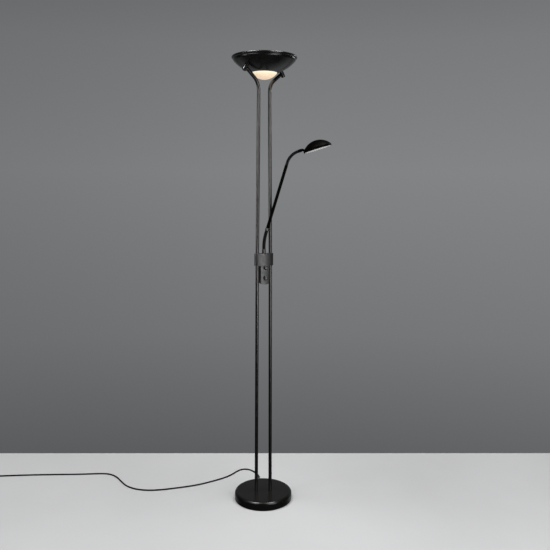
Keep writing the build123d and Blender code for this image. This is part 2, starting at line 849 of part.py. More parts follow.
head_centre = knuckle + head_x * head_back - head_up * head_drop
head_plane = Plane(origin=head_centre, x_dir=head_x, z_dir=head_up)


def arm_parts():
    """Ferrule on the collar, two flexible necks with a straight tube between them, and the fork."""
    ferrule = disc(ferrule_r, ferrule_low, ferrule_low + ferrule_height)
    ferrule = fillet(ferrule.edges().group_by(Axis.Z)[-1], 0.8)
    nut_low = cavity_top - slide_fit - arm_nut_thick
    ferrule += disc(ferrule_spigot_r, nut_low - 1, ferrule_low)
    ferrule -= disc(lead_r + 2 * slide_fit, 0, lamp_height)
    ferrule -= disc(lower_neck_r - rib_depth + slide_fit, lower_neck.start.Z, lamp_height)
    nut = Pos(0, 0, nut_low) * hex_nut(arm_nut_width, arm_nut_thick, ferrule_spigot_r)

    lower_plain_r = lower_neck_r - rib_depth
    lower = lower_neck.ribbed(lower_neck_r, lower_neck_seat, ring_seat, lower_plain_r, lower_plain_r)

    ring_start = lower_neck.end - arm_direction(arm_lean) * ring_seat
    ring_plane = Plane(origin=ring_start, z_dir=arm_direction(arm_lean))
    ring_length = 2 * ring_seat + ring_web
    ring = disc(ring_r, 0, ring_length)
    ring = fillet(ring.edges().filter_by(GeomType.CIRCLE), 0.6)
    ring -= disc(lower_plain_r + slide_fit, -1, ring_seat)
    ring -= disc(lead_r + 2 * slide_fit, -1, ring_length + 1)
    ring -= disc(arm_tube_r + slide_fit, ring_seat + ring_web, ring_length + 1)

    tube_bore = arm_tube_r - arm_tube_wall
    tube = rod(arm_tube_start, arm_tube_end, arm_tube_r) - rod(arm_tube_start, arm_tube_end, tube_bore)
    sleeve_bore = fork_r - fork_wall
    upper = upper_neck.ribbed(
        upper_neck_r, upper_neck_seat, upper_neck_top, tube_bore - slide_fit, sleeve_bore - slide_fit
    )

    lower_lead = swept(lower_neck.path(), arm_side, lead_r)
    lead_start = lower_neck.end + arm_direction(arm_lean) * touch_gap / 2
    lead = rod(lead_start, upper_neck.start - arm_direction(arm_lean) * touch_gap / 2, lead_r)
    upper_lead = swept(upper_neck.path(), arm_side, lead_r)
    fork, pin = fork_and_pin(sleeve_bore)
    return {
        "arm_ferrule": ferrule,
        "arm_nut": nut,
        "lower_neck": lower,
        "lower_neck_lead": lower_lead,
        "neck_ring": ring_plane * ring,
        "arm_tube": tube,
        "arm_lead": lead,
        "upper_neck": upper,
        "upper_neck_lead": upper_lead,
        "head_fork": fork,
        "knuckle_pin": pin,
    }


def fork_and_pin(sleeve_bore):
    """Sleeve on the end of the upper neck with two cheeks, and the pin across them."""
    plane = Plane(origin=upper_neck.bend_end, x_dir=arm_side, z_dir=fork_dir)
    half = fork_slot / 2 + fork_cheek
    fork = disc(fork_r, 0, fork_sleeve)
    fork = fillet(fork.edges().group_by(Axis.Z)[0], 0.6)
    cheeks = block((-half, -knuckle_r, fork_sleeve - 1), (half, knuckle_r, knuckle_reach))
    cheeks += rod((-half, 0, knuckle_reach), (half, 0, knuckle_reach), knuckle_r)
    slot_low = knuckle_reach - knuckle_r - 2 * touch_gap
    slot_high = knuckle_reach + 2 * knuckle_r
    slot = block((-fork_slot / 2, -fork_r, slot_low), (fork_slot / 2, fork_r, slot_high))
    fork = fork + cheeks - slot
    fork -= disc(sleeve_bore, -1, upper_neck_top + touch_gap)
    pin = rod((-half, 0, knuckle_reach), (half, 0, knuckle_reach), knuckle_pin_r)
    fork -= pin
    for side in (-1, 1):
        head_end = (side * (half + pin_head_thick), 0, knuckle_reach)
        pin += rod((side * half, 0, knuckle_reach), head_end, pin_head_r)
    return plane * fork, plane * pin


def head_parts():
    """Domed head: shell with a welded lug, inner frame, LED board and diffuser."""
    rim_angle = math.degrees(math.acos((head_lip - dome_z) / dome_r))
    inner_dome_r = dome_r - head_wall
    inner_lip_r = math.sqrt(inner_dome_r**2 - (head_lip - dome_z) ** 2)
    inner_angle = math.degrees(math.acos((head_lip - dome_z) / inner_dome_r))
    shell = lathe(
        Line((inner_lip_r, 0), (head_r, 0)),
        Line((head_r, 0), (head_r, head_lip)),
        CenterArc((0, dome_z), dome_r, 90 - rim_angle, rim_angle),
        Line((0, head_height), (0, head_height - head_wall)),
        CenterArc((0, dome_z), inner_dome_r, 90, -inner_angle),
        Line((inner_lip_r, head_lip), (inner_lip_r, 0)),
    )

    pivot = (-head_back, 0, head_drop)
    lug_half = lug_thick / 2
    lug_r = knuckle_r - touch_gap
    lug = rod((-head_back, -lug_half, head_drop), (-head_back, lug_half, head_drop), lug_r)
    toward = Vector(head_back, 0, dome_z - head_drop)
    lug_plane = Plane(origin=pivot, x_dir=(0, 1, 0), z_dir=toward)
    lug += lug_plane * Box(lug_thick, 2 * lug_r, toward.length - dome_r + 2, align=standing)
    lug -= Pos(0, 0, dome_z) * Sphere(dome_r)
    across = Vector(0, lug_thick, 0)
    lug -= rod(Vector(pivot) - across, Vector(pivot) + across, knuckle_pin_r + turn_fit)

    diffuser_low = touch_gap
    diffuser_high = diffuser_low + diffuser_thick
    diffuser = disc(inner_lip_r - touch_gap, diffuser_low, diffuser_high)
    diffuser = fillet(diffuser.edges().group_by(Axis.Z)[0], 0.8)
    frame_top = diffuser_high + frame_height

    def inside(z):
        return min(inner_lip_r, math.sqrt(inner_dome_r**2 - (z - dome_z) ** 2)) - touch_gap

    frame_in = head_board_r - 3
    frame = lathe(
        Polyline(
            (frame_in, frame_top), (frame_in + 4, diffuser_high), (inside(diffuser_high), diffuser_high),
            (inside(frame_top), frame_top), close=True,
        )
    )
    board_r = min(head_board_r, inside(frame_top + board_thick))
    board = disc(board_r, frame_top, frame_top + board_thick)
    leds = [
        Rot(0, 0, 360 * i / head_led_count) * Pos(head_led_ring_r, 0, frame_top - led_thick / 2)
        * Box(led_size, led_size, led_thick)
        for i in range(head_led_count)
    ]
    nodes = {
        "head_shell": shell,
        "head_lug": lug,
        "head_frame": frame,
        "head_led_board": board,
        "head_leds": solids_of(*leds),
        "head_diffuser": diffuser,
    }
    return {name: head_plane * shape for name, shape in nodes.items()}


def dish_shell():
    """Spun dish with a rolled rim, a hole for the glass and three welded bosses."""
    hole_angle = math.degrees(math.asin(dish_hole_r / dish_bowl_r))
    centre = (0, dish_centre_z)
    lip = (lip_centre.X, lip_centre.Y)
    outer = CenterArc(centre, dish_bowl_r, hole_angle - 90, lip_start - hole_angle)
    outer_lip = CenterArc(lip, lip_r, lip_start - 90, lip_end - lip_start)
    inner_lip = CenterArc(lip, lip_r - dish_wall, lip_end - 90, lip_start - lip_end)
    inner = CenterArc(centre, dish_inner_r, lip_start - 90, hole_angle - lip_start)
    rim = Line(outer_lip @ 1, inner_lip @ 0)
    wall = lathe(outer, outer_lip, rim, inner_lip, inner, Line(inner @ 1, outer @ 0))
    bead = revolve(Plane.XZ * (Pos(bead_centre.X, bead_centre.Y) * Circle(bead_r)), Axis.Z)
    return wall + bead


def led_ring(count, ring_r, low):
    """Square LEDs on a circle."""
    led = Pos(ring_r, 0, low) * Box(led_size, led_size, led_thick, align=standing)
    return [Rot(0, 0, 360 * i / count) * led for i in range(count)]


def dish_parts():
    """Dish on two posts, the glass bowl in its hole and the LED unit above the glass."""
    dish = dish_shell()
    nodes = {}

    bowl_r = dish_hole_r - 2 * touch_gap
    flange_z = dish_inside(bowl_flange_r) + touch_gap
    flange_top = flange_z + bowl_flange_thick
    edge_z = dish_centre_z - math.sqrt(dish_bowl_r**2 - dish_hole_r**2)
    cap_r = (bowl_r**2 + bowl_sag**2) / (2 * bowl_sag)
    cap_z = edge_z - bowl_sag + cap_r
    cap_angle = math.degrees(math.asin(bowl_r / cap_r))
    inner_cap_r = cap_r - bowl_wall
    inner_r = bowl_r - bowl_wall
    inner_angle = math.degrees(math.asin(inner_r / inner_cap_r))
    inner_edge_z = cap_z - inner_cap_r * deg_cos(inner_angle)
    nodes["glass_bowl"] = lathe(
        CenterArc((0, cap_z), cap_r, -90, cap_angle),
        Polyline(
            (bowl_r, edge_z), (bowl_r, flange_z), (bowl_flange_r, flange_z),
            (bowl_flange_r, flange_top), (inner_r, flange_top),
        ),
        Line((inner_r, flange_top), (inner_r, inner_edge_z)),
        CenterArc((0, cap_z), inner_cap_r, inner_angle - 90, -inner_angle),
        Line((0, cap_z - inner_cap_r), (0, cap_z - cap_r)),
    )

    boss_circle_r = bowl_flange_r + boss_gap + boss_r
    screw_head_r = 2 * carrier_screw_r
    cover_r = boss_circle_r + screw_head_r + screw_head_gap + diffuser_wall
    carrier_r = cover_r + touch_gap
    carrier_z = dish_inside(carrier_r + touch_gap)
    carrier_top = carrier_z + carrier_thick
    carrier = disc(carrier_r, carrier_z, carrier_top)
    hollow = Pos(0, 0, dish_centre_z) * Sphere(dish_bowl_r - dish_wall / 2)
    screws = []
    for angle in (90, 210, 330):
        at = Pos(boss_circle_r * deg_cos(angle), boss_circle_r * deg_sin(angle), 0)
        screw_low = dish_inside(boss_circle_r + boss_r) + touch_gap
        shank = disc(carrier_screw_r, screw_low, carrier_top)
        screws.append(at * (shank + disc(screw_head_r, carrier_top, carrier_top + screw_head_r)))
        boss = (at * disc(boss_r, edge_z, carrier_z)) & hollow
        dish = dish + boss - at * shank
        carrier -= at * disc(carrier_screw_r + screw_fit, carrier_z - 1, carrier_top + 1)
    nodes["led_carrier"] = carrier
    nodes["carrier_screws"] = solids_of(*screws)
    board_top = carrier_top + board_thick
    nodes["led_board"] = disc(boss_circle_r - screw_head_r - led_board_gap, carrier_top, board_top)
    leds = []
    for ring_r, count in zip(led_ring_radii, led_ring_counts):
        leds += led_ring(count, ring_r, board_top)
    leds += led_ring(glow_led_count, glow_led_ring_r, carrier_z - led_thick)
    nodes["led_chips"] = solids_of(*leds)

    cover_z = carrier_top + diffuser_step
    over_r = (cover_r**2 + diffuser_rise**2) / (2 * diffuser_rise)
    over_z = cover_z + diffuser_rise - over_r
    angle = math.degrees(math.asin(cover_r / over_r))
    under_r = over_r - diffuser_wall
    inner_r = cover_r - diffuser_wall
    under_angle = math.degrees(math.asin(inner_r / under_r))
    under_z = over_z + under_r * deg_cos(under_angle)
    nodes["top_diffuser"] = lathe(
        Polyline((inner_r, under_z), (inner_r, carrier_top), (cover_r, carrier_top), (cover_r, cover_z)),
        CenterArc((0, over_z), over_r, 90 - angle, angle),
        Line((0, over_z + over_r), (0, over_z + under_r)),
        CenterArc((0, over_z), under_r, 90, -under_angle),
    )

    plane = Plane(origin=post_root, x_dir=dish_y, z_dir=post_axis)
    bore_r = post_nipple_r + slide_fit
    post = plane * (disc(post_r, 0, post_length) - disc(bore_r, -1, 0.7 * post_length))
    post -= rod(post_centre - tube_end_dir * 2 * post_r, post_centre, post_nipple_bore_r)
    nipple_in = -dish_wall - post_nut_thick - 4
    nipple = disc(post_nipple_r, nipple_in, post_nipple_grip)
    nipple = plane * (nipple - disc(post_nipple_bore_r, nipple_in - 1, post_length))
    nut_in = -dish_wall - touch_gap - post_nut_thick
    nut = plane * (Pos(0, 0, nut_in) * hex_nut(post_nut_width, post_nut_thick, post_nipple_r))
    hole = plane * disc(post_nipple_r + slide_fit, -2 * dish_wall, dish_wall)
    nodes["dish_posts"] = solids_of(post, opposite(post))
    nodes["post_nipples"] = solids_of(nipple, opposite(nipple))
    nodes["post_nuts"] = solids_of(nut, opposite(nut))
    nodes["dish_shell"] = dish - hole - opposite(hole)
    nodes["dish_lead"] = opposite(dish_lead(cover_r, cover_z - 2 * wire_r))
    return nodes


def dish_lead(cover_r, cover_z):
    """Lead from the housing up a tube and through its post to the side of the upper diffuser."""
    rise_end = dish_axis_point + post_axis * (dish_inner_r - 17)
    end = dish_x * (cover_r + touch_gap) + Vector(0, 0, cover_z)
    path = FilletPolyline(
        Vector(cavity_half - 3, 0, joint_z), stem_joint, stem_corner, post_centre,
        rise_end, end + dish_x * 8, end,
        radius=[wire_bend_r, tube_bend_r, 4, 4, 4],
    )
    return swept(path, (0, 1, 0), wire_r)


def main():
    os.makedirs("parts", exist_ok=True)
    nodes = {}
    for group in (base_parts, cord_parts, stem_parts, housing_parts, arm_parts, head_parts, dish_parts):
        nodes.update(group())
    for name, shape in nodes.items():
        export_step(shape, f"parts/{name}.step")
    print(len(nodes), "nodes")
    print("neck corners", lower_neck.corner, upper_neck.corner)
    print("knuckle", knuckle, "head centre", head_centre)
    print("post centre", post_centre, "dish centre", dish_centre_z, "stem corner", stem_corner)


main()
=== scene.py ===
import json
import math

import bmesh
import bpy
from mathutils import Matrix, Vector


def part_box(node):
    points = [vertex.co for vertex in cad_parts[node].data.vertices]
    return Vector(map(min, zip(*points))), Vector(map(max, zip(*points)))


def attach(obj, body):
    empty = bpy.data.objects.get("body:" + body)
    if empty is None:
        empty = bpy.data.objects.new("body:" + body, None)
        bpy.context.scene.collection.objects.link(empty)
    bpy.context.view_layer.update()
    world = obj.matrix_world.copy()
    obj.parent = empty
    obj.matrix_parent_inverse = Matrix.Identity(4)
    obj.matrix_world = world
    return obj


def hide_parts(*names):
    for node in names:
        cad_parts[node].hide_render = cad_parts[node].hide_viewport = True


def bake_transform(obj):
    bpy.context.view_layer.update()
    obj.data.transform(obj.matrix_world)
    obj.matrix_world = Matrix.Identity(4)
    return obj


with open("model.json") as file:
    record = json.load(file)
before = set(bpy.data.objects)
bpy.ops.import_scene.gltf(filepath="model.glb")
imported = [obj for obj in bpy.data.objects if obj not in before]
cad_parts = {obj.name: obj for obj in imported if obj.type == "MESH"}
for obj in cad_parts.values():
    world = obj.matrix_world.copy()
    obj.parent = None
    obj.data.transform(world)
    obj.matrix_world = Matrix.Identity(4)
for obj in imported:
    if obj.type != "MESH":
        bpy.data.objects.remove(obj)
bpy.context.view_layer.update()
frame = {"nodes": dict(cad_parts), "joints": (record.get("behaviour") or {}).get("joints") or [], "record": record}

nodes = frame["nodes"]
joints = {j["name"]: j for j in frame["joints"]}
slots = {s["node"]: s["material_slot"] for s in frame["record"]["subparts"]}

# Camera and floor, fitted to the photograph, in metres and degrees. The camera stands in front, to the left
IMAGE_SIZE = 550
SENSOR_WIDTH = 36.0
FOCAL_PIXELS = 657.85
CAMERA_DISTANCE = 2.6282
CAMERA_HEIGHT = 1.3083
CAMERA_AZIMUTH = 25.0
CAMERA_PITCH = 7.78
CAMERA_YAW = 0.985
CAMERA_ROLL = 0.294
FLOOR_BEHIND_LAMP = 0.4633
FLOOR_HALF_WIDTH = 3.2
FLOOR_FRONT = 2.6
FLOOR_EDGE_TURN = -0.23
FLOOR_DROP = 0.0002

# Overhead softboxes, as the camera sees them
SOFTBOX_SIZE = 1.2
SOFTBOX_HEIGHT = 4.5
SOFTBOX_TO_BACK = -0.2

# Noise in the materials: its roughness, the values it mostly stays between, and where coats start to change
NOISE_ROUGHNESS = 0.55
NOISE_LOW = 0.3
NOISE_HIGH = 0.7
COAT_START = 0.35

# Sockets for colours on a Mix node
MIX_FIRST = 6
MIX_SECOND = 7
MIX_RESULT = 2

# Height of the bowl that shows below the dish
BOWL_SHOWN = 0.030

# Sizes of the two flexible necks, the same as those of their solids
ARM_AZIMUTH = 58.5
RIB_PITCH = 0.004
RIB_DEPTH = 0.0008
RIB_STEPS = 8
HOSE_POINTS = 32
NECKS = {
    "lower": dict(
        bodies=("arm_foot", "arm"),
        lean=0.0, turn=16.7, bend_r=0.210, foot=0.015, top=0.013, r=0.0068,
        seat=0.008, seat_r=0.0062, end_seat=0.004, end_r=0.0062,
    ),
    "upper": dict(
        bodies=("arm", "head_mount"),
        lean=16.7, turn=54.3, bend_r=0.0677, foot=0.018, top=0.010, r=0.006,
        seat=0.008, seat_r=0.0049, end_seat=0.010, end_r=0.0045,
    ),
}

# Cord: its diameter, its route in metres from the gland to the coil, and the coil
CORD_DIAMETER = 0.006
CORD_ROUTE = [
    (0.04601, 0.13751, 0.0090),
    (0.05267, 0.15742, 0.0090),
    (0.0630, 0.1790, 0.0060),
    (0.0680, 0.2080, 0.0036),
    (0.0670, 0.2390, 0.0030),
    (0.0560, 0.2740, 0.0030),
    (0.0290, 0.2900, 0.0030),
    (-0.0010, 0.2810, 0.0030),
    (-0.0370, 0.2570, 0.0030),
    (-0.0810, 0.2400, 0.0030),
    (-0.1330, 0.2320, 0.0030),
    (-0.1900, 0.2250, 0.0030),
    (-0.2510, 0.2270, 0.0030),
    (-0.3110, 0.2370, 0.0030),
    (-0.3660, 0.2460, 0.0030),
    (-0.4200, 0.2640, 0.0030),
    (-0.4670, 0.2980, 0.0030),
    (-0.4970, 0.3450, 0.0030),
    (-0.5070, 0.3990, 0.0030),
    (-0.5140, 0.4550, 0.0030),
    (-0.5354, 0.4990, 0.0030),
    (-0.5734, 0.5230, 0.0030),
    (-0.6224, 0.5400, 0.0030),
    (-0.6814, 0.5640, 0.0030),
    (-0.7534, 0.5960, 0.0030),
    (-0.8304, 0.6290, 0.0030),
    (-0.9115, 0.6620, 0.0030),
    (-0.9910, 0.6890, 0.0041),
    (-1.0318, 0.7079, 0.0041),
]
COIL_R = 0.036
COIL_PITCH = 0.0066
COIL_TURNS = 3.0
COIL_CLIMB = 0.5
COIL_HEADING = -65.2
COIL_LOW = 0.0041
COIL_POINTS_PER_TURN = 16
TAIL_STRAIGHT = 0.015
TAIL_DROP = 0.030
TAIL_BOW = 0.0019
PLUG_HALF_THICK = 0.00685

# Tie round the coil, with its end lapped on top and narrowed at the tip
TIE_WIDTH = 0.009
TIE_THICK = 0.0009
TIE_GAP = 0.0001
TIE_LAP_PAST_COIL = 0.001
TIE_TIP_LENGTH = 0.0015
TIE_TIP_SHARE = 0.7
TIE_CORNER_STEPS = 6

# Felt pad: its inner rings as shares of its radius
PAD_RINGS = (0.12, 0.4, 0.7, 0.9, 0.97)
PAD_EDGE_STEP = 30
PAD_POINTS = 96

# Strain relief at the back of the base, as distances from the lamp's middle and radii
GLAND_AZIMUTH = 18.5
GLAND_HEIGHT = 0.009
GLAND_POINTS = 40
GLAND_CORE = [(0.1065, 0.0045), (0.1147, 0.0045)]
GLAND_FLANGE = [(0.1148, 0.0066), (0.1150, 0.0068), (0.1172, 0.0068), (0.1174, 0.0066)]
GLAND_ROOT = [(0.1174, 0.0055), (0.1205, 0.0055)]
GLAND_TIP = [(0.1446, 0.0039), (0.1450, 0.0034)]
GLAND_TAPER = (0.1205, 0.1435)
GLAND_TAPER_R = (0.0055, 0.0040)

# Grooves of the strain relief: their number and depth, and each one's form along its share of the taper
GLAND_GROOVES = 6
GLAND_GROOVE_DEPTH = 0.0007
GLAND_GROOVE_START = 0.4
GLAND_GROOVE_FORM = ((0.0, 0.0), (0.08, 0.5), (0.16, 1.0), (0.36, 1.0), (0.44, 0.5), (0.52, 0.0))


def sine(degrees):
    return math.sin(math.radians(degrees))


def cosine(degrees):
    return math.cos(math.radians(degrees))


# Camera and stage

right = Vector((cosine(CAMERA_AZIMUTH), -sine(CAMERA_AZIMUTH), 0))
away = Vector((sine(CAMERA_AZIMUTH), cosine(CAMERA_AZIMUTH), 0))


def seen_from_camera(to_right, to_back, height):
    """A place given as the camera sees it: to the right of the lamp, behind it, and above the floor."""
    return right * to_right + away * to_back + Vector((0, 0, height))


def link(obj):
    bpy.context.scene.collection.objects.link(obj)
    return obj


def add_camera():
    data = bpy.data.cameras.new("camera")
    data.sensor_width = SENSOR_WIDTH
    data.lens = SENSOR_WIDTH * FOCAL_PIXELS / IMAGE_SIZE
    data.clip_start = 0.01
    data.clip_end = 100.0
    camera = link(bpy.data.objects.new("camera", data))
    camera.location = seen_from_camera(0, -CAMERA_DISTANCE, CAMERA_HEIGHT)
    level = away * cosine(CAMERA_YAW) + right * sine(CAMERA_YAW)
    forward = level * cosine(CAMERA_PITCH) - Vector((0, 0, sine(CAMERA_PITCH)))
    upright = forward.to_track_quat("-Z", "Y").to_matrix()
    camera.rotation_euler = (upright @ Matrix.Rotation(math.radians(CAMERA_ROLL), 3, "Z")).to_euler()
    bpy.context.scene.camera = camera


def new_mesh(name, bm):
    mesh = bpy.data.meshes.new(name)
    bm.to_mesh(mesh)
    bm.free()
    for polygon in mesh.polygons:
        polygon.use_smooth = True
    return link(bpy.data.objects.new(name, mesh))


def ring_of(bm, place, side, across, radius, count):
    """Loop of points round a place, in the plane of two directions."""
    return [
        bm.verts.new(place + (side * cosine(360 * i / count) + across * sine(360 * i / count)) * radius)
        for i in range(count)
    ]


def bridge(bm, first, second):
    """Band of faces between two loops."""
    count = len(first)
    for i in range(count):
        j = (i + 1) % count
        bm.faces.new((first[i], first[j], second[j], second[i]))


def bridge_all(bm, loops):
    """Closed skin through a row of loops, with a face on each end."""
    for first, second in zip(loops, loops[1:]):
        bridge(bm, first, second)
    bm.faces.new(list(reversed(loops[0])))
    bm.faces.new(loops[-1])


def add_floor():
    """Pale floor that ends where the photograph's floor meets the grey background."""
    bm = bmesh.new()
    slant = FLOOR_HALF_WIDTH * math.tan(math.radians(FLOOR_EDGE_TURN))
    corners = [
        (-FLOOR_HALF_WIDTH, -FLOOR_FRONT),
        (FLOOR_HALF_WIDTH, -FLOOR_FRONT),
        (FLOOR_HALF_WIDTH, FLOOR_BEHIND_LAMP + slant),
        (-FLOOR_HALF_WIDTH, FLOOR_BEHIND_LAMP - slant),
    ]
    bm.faces.new([bm.verts.new(seen_from_camera(x, y, -FLOOR_DROP)) for x, y in corners])
    floor = new_mesh("floor", bm)
    floor.data.materials.append(floor_material())
    floor.visible_glossy = False


# Materials


class Nodes:
    """Node tree of a material or of the world, with short ways to add to it."""

    def __init__(self, owner):
        owner.use_nodes = True
        self.tree = owner.node_tree

    def node(self, kind):
        return self.tree.nodes.new(kind)

    def feed(self, socket, source):
        self.tree.links.new(source, socket)

    def span(self, source, start, end, low, high):
        """Source values between start and end, moved to between low and high."""
        change = self.node("ShaderNodeMapRange")
        change.inputs["From Min"].default_value = start
        change.inputs["From Max"].default_value = end
        change.inputs["To Min"].default_value = low
        change.inputs["To Max"].default_value = high
        self.feed(change.inputs["Value"], source)
        return change.outputs["Result"]

    def ramp(self, source, *stops):
        """Colour that changes with the source, by stops of (position, colour)."""
        ramp = self.node("ShaderNodeValToRGB")
        elements = ramp.color_ramp.elements
        while len(elements) < len(stops):
            elements.new(0.5)
        for element, (position, colour) in zip(elements, stops):
            element.position = position
            element.color = (*colour, 1.0)
        self.feed(ramp.inputs["Fac"], source)
        return ramp.outputs["Color"]


class Shader(Nodes):
    """A material with one Principled shader, built node by node."""

    def __init__(self, name):
        self.name = name
        self.material = bpy.data.materials.new(name)
        super().__init__(self.material)
        self.principled = self.tree.nodes["Principled BSDF"]
        self.place = self.node("ShaderNodeTexCoord").outputs["Object"]

    def noise(self, scale, detail, stretch=None):
        noise = self.node("ShaderNodeTexNoise")
        noise.inputs["Scale"].default_value = scale
        noise.inputs["Detail"].default_value = detail
        noise.inputs["Roughness"].default_value = NOISE_ROUGHNESS
        place = self.place
        if stretch:
            mapping = self.node("ShaderNodeMapping")
            mapping.inputs["Scale"].default_value = stretch
            self.feed(mapping.inputs["Vector"], place)
            place = mapping.outputs["Vector"]
        self.feed(noise.inputs["Vector"], place)
        return noise.outputs["Fac"]

    def roughness(self, source, low, high):
        self.feed(self.principled.inputs["Roughness"], self.span(source, NOISE_LOW, NOISE_HIGH, low, high))

    def bump(self, source, depth):
        """Bump that follows a source, with its depth in metres."""
        bump = self.node("ShaderNodeBump")
        bump.inputs["Distance"].default_value = depth
        bump.inputs["Strength"].default_value = 1.0
        self.feed(bump.inputs["Height"], source)
        self.feed(self.principled.inputs["Normal"], bump.outputs["Normal"])

    def set(self, **values):
        for name, value in values.items():
            self.principled.inputs[name.replace("_", " ")].default_value = value


def grey(value, warm=0.0):
    """Near-neutral colour, a little warmer for a positive share."""
    return (value * (1 + warm), value, value * (1 - warm))


def mottled(name, colours, mottle, depth, grain, rough=None, patches=None, start=NOISE_LOW, **values):
    """
    Shader with noise in its colours (mottle), its roughness (patches) and its bump of some depth (grain).
    Each noise is given as its scale, its detail and, if it isn't even, its stretch.
    """
    shader = Shader(name)
    colour = shader.ramp(shader.noise(*mottle), (start, colours[0]), (NOISE_HIGH, colours[1]))
    shader.feed(shader.principled.inputs["Base Color"], colour)
    if rough:
        shader.roughness(shader.noise(*patches), *rough)
    shader.bump(shader.noise(*grain), depth)
    shader.set(**values)
    return shader


def coated(name, **values):
    """Coat, plastic or rubber, which keeps its darker colour up to a higher value of the noise."""
    return mottled(name, start=COAT_START, **values)


def turned_metal(name, low, high, metallic):
    """Satin turned metal with fine rings round its own height."""
    return mottled(
        name, colours=(grey(low, 0.01), grey(high, 0.02)), mottle=(150.0, 5.0),
        rough=(0.25, 0.42), patches=(400.0, 4.0, (1, 1, 12)),
        depth=0.00002, grain=(500.0, 3.0, (0.2, 0.2, 10)), Metallic=metallic,
    )


def board(name, low, high):
    """Circuit board: solder resist with a faint pattern of tracks under it."""
    shader = Shader(name)
    tracks = shader.node("ShaderNodeTexBrick")
    tracks.inputs["Scale"].default_value = 90.0
    tracks.inputs["Color1"].default_value = (*low, 1)
    tracks.inputs["Color2"].default_value = (*high, 1)
    tracks.inputs["Mortar"].default_value = (*high, 1)
    tracks.inputs["Mortar Size"].default_value = 0.06
    shader.feed(tracks.inputs["Vector"], shader.place)
    shader.feed(shader.principled.inputs["Base Color"], tracks.outputs["Color"])
    shader.roughness(shader.noise(300.0, 3.0), 0.3, 0.45)
    shader.bump(tracks.outputs["Fac"], 0.00003)
    return shader


def glowing(name, colours, glow, strength, bottom, top):
    """Lit opal material, whose glow changes with height."""
    shader = mottled(
        name, colours=colours, mottle=(70.0, 4.0), rough=(0.4, 0.55), patches=(300.0, 3.0),
        depth=0.00001, grain=(1300.0, 2.0), Emission_Strength=strength,
    )
    height = shader.node("ShaderNodeSeparateXYZ")
    shader.feed(height.inputs["Vector"], shader.place)
    share = shader.span(height.outputs["Z"], bottom, top, 0.0, 1.0)
    steps = [(i / (len(glow) - 1), colour) for i, colour in enumerate(glow)]
    shader.feed(shader.principled.inputs["Emission Color"], shader.ramp(share, *steps))
    return shader


def floor_material():
    return mottled(
        "studio_floor", colours=(grey(0.535, -0.006), grey(0.575, -0.006)), mottle=(1.3, 3.0),
        rough=(0.75, 0.85), patches=(40.0, 3.0), depth=0.00004, grain=(700.0, 3.0),
    ).material


